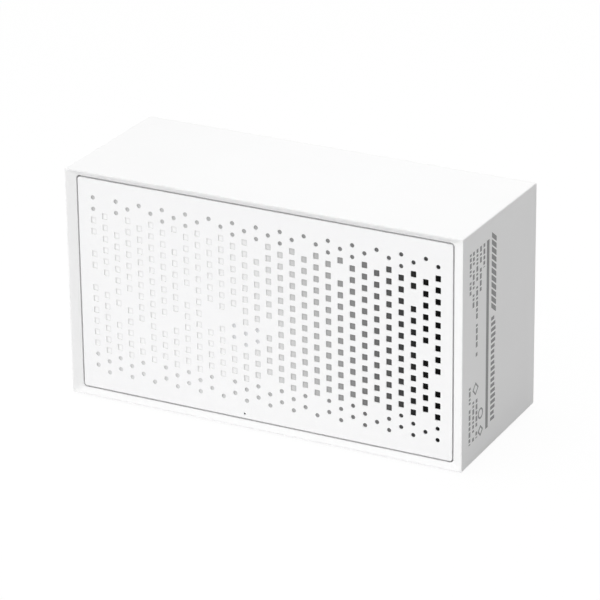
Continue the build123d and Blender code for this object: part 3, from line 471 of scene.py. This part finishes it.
nickelPlate = metalFinish("nickelPlate", {  # nickel plating inside a socket: warm bright silver
    "dark": "#A49F96", "light": "#C2BDB3", "stretch": (1, 4, 1), "scratch": 0.3, "patch": 2, "rough": 0.25,
    "bump": 0.1})
brass = metalFinish("brass", {  # stamped brass tab: yellow with dull edges
    "dark": "#B08D4A", "light": "#D1AE66", "stretch": (1, 1, 5), "scratch": 0.3, "patch": 2, "rough": 0.35,
    "bump": 0.15})
goldFlash = metalFinish("goldFlash", {  # thin gold on contact springs: bright and warm
    "dark": "#D0A64B", "light": "#E8C46C", "stretch": (1, 5, 1), "scratch": 0.2, "patch": 1, "rough": 0.22,
    "bump": 0.1})
canAluminium = metalFinish("canAluminium", {  # drawn aluminium top of a capacitor: pale, brushed
    "dark": "#C2C3C5", "light": "#D8D9DA", "stretch": (1, 4, 1), "scratch": 0.25, "patch": 2, "rough": 0.3,
    "bump": 0.1})
copperWinding = windingFinish("copperWinding", {  # 0.2 mm wire, drawn a little coarser so that it shows
    "wire": 0.25, "dark": "#8A4A2C", "light": "#D98C5F"})
nylonWebbing = wovenFinish("nylonWebbing", {  # woven nylon tape: black with a fine rib
    "thread": 0.4, "across": ("X", "Z"), "dark": "#0E0E0F", "light": "#2A2A2C", "rough": 0.6, "bump": 0.6,
    "depth": 0.08})
resinCloth = wovenFinish("resinCloth", {  # cotton stiffened with resin: amber, open plain weave
    "thread": 0.35, "across": ("X", "Z"), "dark": "#9C7A32", "light": "#D0AE62", "rough": 0.7, "bump": 0.7,
    "depth": 0.08})
largeRows = (17.3, 69.98)  # the large holes lie between these heights, in millimetres
acousticClothPaintedLight = clothWithPaintedLight("acousticClothPaintedLight", {  # polyester grille cloth with a long painted light fade, white at the left to black at the right
    "thread": 0.35, "across": ("X", "Z"), "left": -65.0, "right": 65.5,
    "largeRows": largeRows, "firstHole": (-65.2, 74.8), "holePitch": (4.5, 4.18),
    "holeSize": (2.05, 2.25), "shadeFrom": 0.4, "shadeLeast": 0.87,
    "middlePaintedLight": {0.0: "#F9F9F9", 0.34: "#F8F8F8", 0.41: "#F4F4F4", 0.48: "#E7E7E7", 0.59: "#CFCFCF",
                   0.69: "#AFAFAF", 0.76: "#8D8D8D", 0.83: "#6C6C6C", 0.9: "#3E3E3E", 0.95: "#121212",
                   1.0: "#060606"},
    "topPaintedLight": {0.0: "#CBCBCB", 0.28: "#C9C9C9", 0.35: "#B9B9B9", 0.5: "#B2B2B2", 0.56: "#A0A0A0",
                0.68: "#939393", 0.86: "#707070", 0.93: "#525252", 1.0: "#2D2D2D"},
    "bottomPaintedLight": {0.0: "#DCDCDC", 0.3: "#DADADA", 0.43: "#CACACA", 0.58: "#B5B5B5", 0.69: "#959595",
                   0.76: "#7A7A7A", 0.86: "#6C6C6C", 0.9: "#4C4C4C", 1.0: "#1E1E1E"},
    "gapShade": 0.92, "rough": 0.85, "gloss": 0.1, "bump": 0.35, "depth": 0.05})
acousticFoam = foamFinish("acousticFoam", {  # closed-cell foam gasket: soft black with a cellular skin
    "cell": 0.5, "dark": "#0C0C0D", "light": "#2A2A2C", "rough": 0.9})
opalAcrylic = clearFinish("opalAcrylic", {  # opal acrylic diffuser: milky, hides the lights until lit
    "clear": 0.15, "haze": 3, "dark": "#D6D7D9", "light": "#DFE0E2", "rough": 0.4})
clearAcrylic = clearFinish("clearAcrylic", {  # polished light pipe: water clear with a bright face
    "clear": 0.9, "haze": 6, "dark": "#E6EBF0", "light": "#F6F9FB", "rough": 0.12, "coat": 0.3})
conePaper = pulpFinish("conePaper", {  # black coated pulp: matt, with the fibres just showing
    "fibre": 0.7, "dark": "#121212", "light": "#2B2A29", "rough": 0.75})
boardLook = {
    "tile": 4, "track": 0.8, "pad": 0.45, "mask": "#0C4A2A", "copper": "#16683C", "gold": "#C9A45A"}
mainBoardEpoxy = boardFinish("mainBoardEpoxy", {**boardLook, "across": ("X", "Y")})  # lies flat
lightBoardEpoxy = boardFinish("lightBoardEpoxy", {**boardLook, "across": ("X", "Z")})  # faces the front
keyBoardEpoxy = boardFinish("keyBoardEpoxy", {**boardLook, "across": ("Y", "Z")})  # faces the left end
print("finishes made:", len(bpy.data.materials))


# every CAD node gets its finish: its mesh stays as it is, and each face only picks one of the slots

def dress(names, *finishes, pick=None):
    for name in names:
        mesh = nodes[name].data
        low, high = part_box(name)
        mesh.materials.clear()
        for finish in finishes:
            mesh.materials.append(finish)
        for face in mesh.polygons:
            face.material_index = pick(face, low, high) if pick else 0


def bothSides(part):
    return [f"{side}_{part}" for side in ("left", "right")]


def offAxis(face, low, high):  # how far a face is from the box's middle line that runs along Y
    return math.hypot(face.center.x - (low.x + high.x) / 2, face.center.z - (low.z + high.z) / 2)


dress(["housing"], whiteAbs)
dress(["rubber_feet"], greyRubber)
dress(["status_light_guide"], opalAcrylic)
dress(["charge_light_pipe"], clearAcrylic)
dress(["baffle"], blackAbs)
dress(["baffle_gasket", *bothSides("driver_gasket")], acousticFoam)
dress(["baffle_screws", "driver_screws", "chassis_screws", "board_screws",
       *bothSides("front_plate"), *bothSides("yoke")], zincPlate)
dress(["board_bracket", "battery_cradle"], greyAbs)
dress(["main_board"], mainBoardEpoxy)
dress(["indicator_board"], lightBoardEpoxy)
dress(["key_board"], keyBoardEpoxy)
dress(["battery_strap"], nylonWebbing)
dress(["battery_lead", "left_speaker_lead", "right_speaker_lead", "indicator_lead", "key_lead"], leadJacket)
dress(bothSides("driver_basket"), blackPaint)
dress(bothSides("magnet"), ferrite)
dress([*bothSides("cone"), *bothSides("dust_cap")], conePaper)
dress(bothSides("surround"), butylRubber)
dress(bothSides("spider"), resinCloth)
dress(["power_switch_knob"], blackAbs)
dress(["power_switch_body"], tinPlate)


square, leaning = 0.9, 0.5  # how far a face's normal goes along an axis that it faces

borders = {  # millimetres: where one finish of a node stops and the next one starts
    "signTop": 0.1, "signBottom": 0.4, "port": 0.5, "well": 0.5, "cellEnd": 0.9, "tab": 1.25,
    "former": 6.66, "winding": 4.5, "shield": 0.85, "legOut": 3.15, "legUp": 0.35, "panelEdge": 3.0,
    "tongueWide": 2.05, "tongueThick": 0.4, "tongueUp": 0.2, "tongueRoot": 0.5,
    "bore": 1.85, "boreRim": 1.0,
}


def pickSign(face, low, high):  # the sunk sign of a button is filled with grey ink
    depth = (face.center.x - low.x) / mm
    return 1 if face.normal.x < -square and borders["signTop"] < depth < borders["signBottom"] else 0


def pickHoleWall(face, low, high):  # the walls of the holes in the large rows, but not the panel's edge
    edge = borders["panelEdge"] * mm
    lowest, highest = (height * mm for height in largeRows)
    inField = low.x + edge < face.center.x < high.x - edge and lowest < face.center.z < highest
    return 1 if inField and abs(face.normal.y) < leaning else 0


def pickLens(face, low, high):  # the front of each light is its lens
    return 1 if face.normal.y < -leaning else 0


def pickPort(face, low, high):  # the sound port of the microphone is black inside
    return 1 if offAxis(face, low, high) < borders["port"] * mm else 0


def pickWell(face, low, high):  # a switch has a metal cover round a black plunger well
    return 1 if face.normal.x < -leaning and face.center.x > low.x + borders["well"] * mm else 0


def pickCellEnd(face, low, high):  # the sleeve stops at the ends, which are bare plate
    return 1 if abs(face.normal.x) > square or face.center.x > high.x - borders["cellEnd"] * mm else 0


def pickTab(face, low, high):  # a brown strip against the basket, brass tabs on it
    return 1 if face.center.y > high.y - borders["tab"] * mm else 0


def pickWinding(face, low, high):  # wire round the rear end of the former
    wound = face.center.y > high.y - borders["winding"] * mm
    return 1 if wound and offAxis(face, low, high) > borders["former"] * mm else 0


def pickShield(face, low, high):  # the radio's own small board under its metal can
    return 1 if face.center.z > low.z + borders["shield"] * mm else 0


def pickLeg(face, low, high):  # the chip's legs reach out past its body
    aside = abs(face.center.x - (low.x + high.x) / 2)
    return 1 if aside > borders["legOut"] * mm and face.center.z < low.z + borders["legUp"] * mm else 0


def pickTongue(face, low, high):  # the tongue inside the charging socket is black plastic
    aside = abs(face.center.x - (low.x + high.x) / 2)
    level = abs(face.center.z - (low.z + high.z) / 2 - borders["tongueUp"] * mm)
    inside = face.center.y > low.y + borders["tongueRoot"] * mm
    return 1 if inside and aside < borders["tongueWide"] * mm and level < borders["tongueThick"] * mm else 0


def pickBore(face, low, high):  # the bore of the audio socket is lined with plated springs
    inside = abs(face.normal.y) < leaning and face.center.y < high.y - borders["boreRim"] * mm
    return 1 if inside and offAxis(face, low, high) < borders["bore"] * mm else 0


boardPlaces = {  # millimetres, on the main board
    "capacitors": ((36, -5.5), (36, 1.5), (17, 12)), "capacitorRadius": 2.6, "canTop": 0.1,
    "coilsX": (31, 43.5), "coilsY": (7, 13), "chargeLight": (-5, 19.4), "chargeRoom": (1, 0.8),
}


def pickComponent(face, low, high):  # by height and place: sleeves, can tops, coils, plugs, charging light
    x, y = face.center.x / mm, face.center.y / mm
    (left, right), (near, far) = boardPlaces["coilsX"], boardPlaces["coilsY"]
    (lightX, lightY), (roomX, roomY) = boardPlaces["chargeLight"], boardPlaces["chargeRoom"]
    if face.center.z > high.z - boardPlaces["canTop"] * mm:
        return 1
    if any(math.hypot(x - atX, y - atY) < boardPlaces["capacitorRadius"]
           for atX, atY in boardPlaces["capacitors"]):
        return 0
    if left < x < right and near < y < far:
        return 2
    return 4 if abs(x - lightX) < roomX and abs(y - lightY) < roomY else 3


# the walls of the large holes take the whiter copy of the coat, which is painted light
dress(["front_panel"], powderCoat, holeWallPaintedLight, pick=pickHoleWall)
dress(["volume_down_button", "play_button", "volume_up_button"], whiteAbs, printingInk, pick=pickSign)
dress(["status_leds"], nylonWhite, phosphorLens, pick=pickLens)
dress(["microphone"], tinPlate, blackAbs, pick=pickPort)
dress(["key_switches"], tinPlate, blackAbs, pick=pickWell)
dress(["battery_cells"], shrinkSleeve, nickelPlate, pick=pickCellEnd)
dress(bothSides("terminals"), phenolic, brass, pick=pickTab)
dress(bothSides("voice_coil"), polyimide, copperWinding, pick=pickWinding)
dress(["bluetooth_module"], mainBoardEpoxy, tinPlate, pick=pickShield)
dress(["amplifier_chip"], chipResin, tinPlate, pick=pickLeg)
dress(["usb_socket"], tinPlate, blackAbs, pick=pickTongue)
dress(["aux_jack"], blackAbs, nickelPlate, pick=pickBore)
dress(["board_components"], blackAbs, canAluminium, ferrite, nylonWhite, phosphorLens, pick=pickComponent)
print("CAD nodes dressed")


# modelling helpers: an operator works on all that is selected, so each starts from nothing selected

def pickNothing():
    bpy.ops.object.select_all(action="DESELECT")


def settle(piece):  # the place goes into the mesh, as in a CAD node
    pickNothing()
    piece.select_set(True)
    bpy.context.view_layer.objects.active = piece
    bpy.ops.object.transform_apply(location=True, rotation=True, scale=True)


def thicken(piece, thickness, offset):
    bpy.context.view_layer.objects.active = piece
    solid = piece.modifiers.new("thickness", "SOLIDIFY")
    solid.thickness = thickness * mm
    solid.offset = offset
    bpy.ops.object.modifier_apply(modifier=solid.name)


def joined(pieces, name):
    pickNothing()
    for piece in pieces:
        piece.select_set(True)
    bpy.context.view_layer.objects.active = pieces[0]
    bpy.ops.object.join()
    pieces[0].name = name
    return pieces[0]


def copyOf(piece, move):  # with a mesh of its own
    made = piece.copy()
    made.data = piece.data.copy()
    made.data.transform(move)
    bpy.context.collection.objects.link(made)
    return made


def openRing(place, turn, radius, thick, corners):  # a ring, or with four corners a square frame
    pickNothing()
    bpy.ops.mesh.primitive_circle_add(vertices=corners, radius=radius * mm, fill_type="NGON",
                                      location=place, rotation=turn)
    ring = bpy.context.object
    settle(ring)
    bpy.ops.object.mode_set(mode="EDIT")
    bpy.ops.mesh.select_all(action="SELECT")
    bpy.ops.mesh.inset(thickness=thick * mm)
    bpy.ops.mesh.delete(type="FACE")
    bpy.ops.object.mode_set(mode="OBJECT")
    return ring


def finished(piece, body, finish):
    piece.data.materials.clear()
    piece.data.materials.append(finish)
    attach(piece, body)
    print("made:", piece.name, len(piece.data.polygons), "faces")


# grille cloth: one sheet stretched behind the panel, cut out round the light guide and the microphone

clothLook = {
    "columns": 84, "rows": 46, "thickness": 0.24, "fromBack": 0.03,  # millimetres
    "guideRoom": 0.1, "portRoom": (1.0, 0.6), "portDown": 0.05,
    "pillow": 0.05,  # how far it eases forward between its glued edges
}


def cutWindow(cloth, low, high):  # cuts along the window's four sides, then takes out what is inside
    bpy.context.view_layer.objects.active = cloth
    bpy.ops.object.mode_set(mode="EDIT")
    for edge, across in ((low.x, (1, 0, 0)), (high.x, (1, 0, 0)), (low.z, (0, 0, 1)), (high.z, (0, 0, 1))):
        bpy.ops.mesh.select_all(action="SELECT")
        bpy.ops.mesh.bisect(plane_co=(edge, 0, edge), plane_no=across)
    bpy.ops.mesh.select_all(action="DESELECT")
    bpy.ops.object.mode_set(mode="OBJECT")
    for face in cloth.data.polygons:
        face.select = low.x < face.center.x < high.x and low.z < face.center.z < high.z
    bpy.ops.object.mode_set(mode="EDIT")
    bpy.ops.mesh.select_mode(type="FACE")
    bpy.ops.mesh.delete(type="FACE")
    bpy.ops.object.mode_set(mode="OBJECT")


def makeGrilleCloth(look):
    low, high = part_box("grille_cloth")
    middle, size = (low + high) / 2, high - low
    pickNothing()
    bpy.ops.mesh.primitive_grid_add(x_subdivisions=look["columns"], y_subdivisions=look["rows"], size=1,
                                    location=(middle.x, high.y - look["fromBack"] * mm, middle.z),
                                    rotation=(math.radians(90), 0, 0))
    cloth = bpy.context.object
    cloth.scale = (size.x, size.z, 1)
    settle(cloth)
    guideLow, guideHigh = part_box("status_light_guide")
    room = Vector((1, 0, 1)) * look["guideRoom"] * mm
    cutWindow(cloth, guideLow - room, guideHigh + room)
    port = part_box("microphone")
    centre = (port[0] + port[1]) / 2 - Vector((0, 0, look["portDown"] * mm))
    room = Vector((look["portRoom"][0], 0, look["portRoom"][1])) * mm
    cutWindow(cloth, centre - room, centre + room)
    for vertex in cloth.data.vertices:
        across = (vertex.co.x - low.x) / size.x
        up = (vertex.co.z - low.z) / size.z
        ease = math.sin(math.pi * across) * math.sin(math.pi * up)
        vertex.co.y -= look["pillow"] * mm * ease ** 0.5 if ease > 0 else 0
    thicken(cloth, look["thickness"] - look["pillow"], 1)
    cloth.name = "grilleCloth"
    finished(cloth, "enclosure", acousticClothPaintedLight)
    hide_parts("grille_cloth")
    return cloth


makeGrilleCloth(clothLook)


# print on the right end: a rule, slanted strokes running into level bars, rows of dashes, three shapes

printLook = {  # places are millimetres behind the front edge, then below the top
    "ink": 0.04, "sink": 0.5,  # film thickness, and the share of it below the surface
    "rule": (19.8, 7.2, 75.8), "ruleWide": 1.95,
    "strokes": 11, "strokeFrom": (24.65, 7.8), "strokePitch": 2.54, "strokeWide": 3.7, "strokeTall": 1.85,
    "strokeDrop": 2.7,  # how much lower a stroke's rear end is
    "barsFrom": 22.8, "barsTop": 36.0, "barsBottom": 76.6, "barPitch": 2.05, "barThick": 1.25,
    "barLong": 3.7, "barShort": 2.4, "barWaves": (0.55, 0.21),
    "rows": ((6.1, 7.3, 14.6), (8.5, 7.3, 20), (11.3, 7.3, 38.5), (14.1, 7.3, 16.4), (16.8, 7.3, 8.5),
             (6.1, 55.4, 21.1), (9.0, 61.6, 15.4), (11.6, 61.6, 14.4)),  # place and length
    "dashWide": 1.3, "dashLengths": (0.8, 1.3, 1.9), "dashLeast": 0.3, "dashGap": 0.6,
    "wordDashes": (3, 7), "wordGap": 1.4,
    "shapes": ((10.7, 57.5, 4, 2.4), (14.8, 68.2, 32, 2.0), (14.8, 74.6, 4, 2.1)),  # place, corners, radius
    "outline": 0.6, "seed": 7,
}


def onRightEnd(s, t):  # a place s mm behind the front edge and t mm below the top
    low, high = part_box("housing")
    return high.x, low.y + s * mm, high.z - t * mm


def levelBars(look):  # place and size of each mark: behind the front edge, below the top, wide, tall
    count = int((look["barsBottom"] - look["barsTop"]) / look["barPitch"])
    fast, slow = look["barWaves"]
    for i in range(count):
        wave = abs(math.sin(i * fast) * math.cos(i * slow))
        long = look["barShort"] + (look["barLong"] - look["barShort"]) * wave ** 0.5
        yield (look["barsFrom"] + long / 2, look["barsTop"] + (i + 0.5) * look["barPitch"],
               long, look["barThick"])


def dashRows(look):
    chance = random.Random(look["seed"])
    for s, top, length in look["rows"]:
        t = top
        while t < top + length:
            for dash in range(chance.randint(*look["wordDashes"])):
                long = min(chance.choice(look["dashLengths"]), top + length - t)
                if long > look["dashLeast"]:
                    yield s, t + long / 2, look["dashWide"], long
                t += long + look["dashGap"]
            t += look["wordGap"]


def slantedStroke(block, look):
    stroke = copyOf(block, Matrix.Diagonal((1, look["strokeWide"], look["strokeTall"], 1)))
    bpy.context.view_layer.objects.active = stroke
    bpy.ops.object.mode_set(mode="EDIT")
    bpy.ops.mesh.select_mode(type="VERT")
    bpy.ops.mesh.select_all(action="DESELECT")
    bpy.ops.object.mode_set(mode="OBJECT")
    for vertex in stroke.data.vertices:
        vertex.co.z += look["strokeDrop"] / 2 * mm
        vertex.select = vertex.co.y > 0
    bpy.ops.object.mode_set(mode="EDIT")
    bpy.ops.transform.translate(value=(0, 0, -look["strokeDrop"] * mm))
    bpy.ops.object.mode_set(mode="OBJECT")
    return stroke


def makeSidePrint(look):
    outwards = (0, math.radians(90), 0)
    s, top, bottom = look["rule"]
    blocks = [(s, (top + bottom) / 2, look["ruleWide"], bottom - top), *levelBars(look), *dashRows(look)]
    pickNothing()
    bpy.ops.mesh.primitive_plane_add(size=mm, rotation=outwards)
    block = bpy.context.object
    settle(block)
    marks = [copyOf(block, Matrix.Translation(onRightEnd(s, t)) @ Matrix.Diagonal((1, wide, tall, 1)))
             for s, t, wide, tall in blocks]
    stroke = slantedStroke(block, look)
    s, t = look["strokeFrom"]
    marks += [copyOf(stroke, Matrix.Translation(onRightEnd(s, t + i * look["strokePitch"])))
              for i in range(look["strokes"])]
    bpy.data.objects.remove(stroke)
    bpy.data.objects.remove(block)
    marks += [openRing(onRightEnd(s, t), outwards, radius, look["outline"], corners)
              for s, t, corners, radius in look["shapes"]]
    ink = joined(marks, "sidePrint")
    thicken(ink, look["ink"], 1 - 2 * look["sink"])
    finished(ink, "enclosure", printingInk)


makeSidePrint(printLook)


# printed signs on the back: a bar and a ring at the ends of the switch, an open ring round the audio socket

rearLook = {
    "ink": 0.04, "signOff": 6.8, "signTall": 2.6, "signThick": 0.45, "signRing": 1.3,
    "socketRing": 4.4, "segments": 48,
}


def makeRearSigns(look):
    back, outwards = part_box("housing")[1].y, (math.radians(-90), 0, 0)
    low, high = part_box("power_switch_body")
    slot = (low + high) / 2
    pickNothing()
    bpy.ops.mesh.primitive_plane_add(size=mm, location=(slot.x + look["signOff"] * mm, back, slot.z),
                                     rotation=outwards)
    bar = bpy.context.object
    bar.scale = (look["signThick"], look["signTall"], 1)
    settle(bar)
    low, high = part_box("aux_jack")
    jack = (low + high) / 2
    ring = openRing((slot.x - look["signOff"] * mm, back, slot.z), outwards, look["signRing"],
                    look["signThick"], look["segments"])
    collar = openRing((jack.x, back, jack.z), outwards, look["socketRing"], look["signThick"],
                      look["segments"])
    ink = joined([bar, ring, collar], "rearSigns")
    thicken(ink, look["ink"], 0)
    finished(ink, "enclosure", printingInk)


makeRearSigns(rearLook)


# contacts under the tongue of the charging socket: five gold springs with rounded edges

contactLook = {"count": 5, "pitch": 0.65, "wide": 0.35, "long": 3.4, "thick": 0.06, "tongueBelow": 0.35,
               "fromBack": 1.0, "upFromMiddle": 0.2, "rounding": 0.3}


def makeContacts(look):
    low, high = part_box("usb_socket")
    middle = (low + high) / 2
    under = middle.z + (look["upFromMiddle"] - look["tongueBelow"]) * mm
    pickNothing()
    bpy.ops.mesh.primitive_cube_add(size=mm, location=(
        middle.x - look["pitch"] * (look["count"] - 1) / 2 * mm,
        high.y - (look["fromBack"] + look["long"] / 2) * mm, under))
    first = bpy.context.object
    first.scale = (look["wide"], look["long"], look["thick"])
    settle(first)
    bevel = first.modifiers.new("roundEdges", "BEVEL")
    bevel.width = look["thick"] * look["rounding"] * mm
    bevel.segments = 2
    bpy.ops.object.modifier_apply(modifier=bevel.name)
    springs = [first] + [copyOf(first, Matrix.Translation((i * look["pitch"] * mm, 0, 0)))
                         for i in range(1, look["count"])]
    finished(joined(springs, "chargingContacts"), "enclosure", goldFlash)


makeContacts(contactLook)


# rubber boot that carries sound from the pinhole in the panel to the microphone

bootLook = {"outside": 0.6, "inside": 0.42, "segments": 24, "clear": 0.05, "portDown": 0.05}


def makeBoot(look):
    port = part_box("microphone")
    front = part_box("grille_cloth")[0].y + look["clear"] * mm
    depth = port[0].y - look["clear"] * mm - front
    centre = ((port[0].x + port[1].x) / 2, front, (port[0].z + port[1].z) / 2 - look["portDown"] * mm)
    boot = openRing(centre, (math.radians(90), 0, 0), look["outside"], look["outside"] - look["inside"],
                    look["segments"])
    bpy.ops.object.mode_set(mode="EDIT")
    bpy.ops.mesh.select_all(action="SELECT")
    bpy.ops.mesh.extrude_region_move(TRANSFORM_OT_translate={"value": (0, depth, 0)})
    bpy.ops.mesh.select_all(action="SELECT")
    bpy.ops.mesh.normals_make_consistent(inside=False)
    bpy.ops.object.mode_set(mode="OBJECT")
    boot.name = "microphoneBoot"
    finished(boot, "enclosure", acousticFoam)


makeBoot(bootLook)
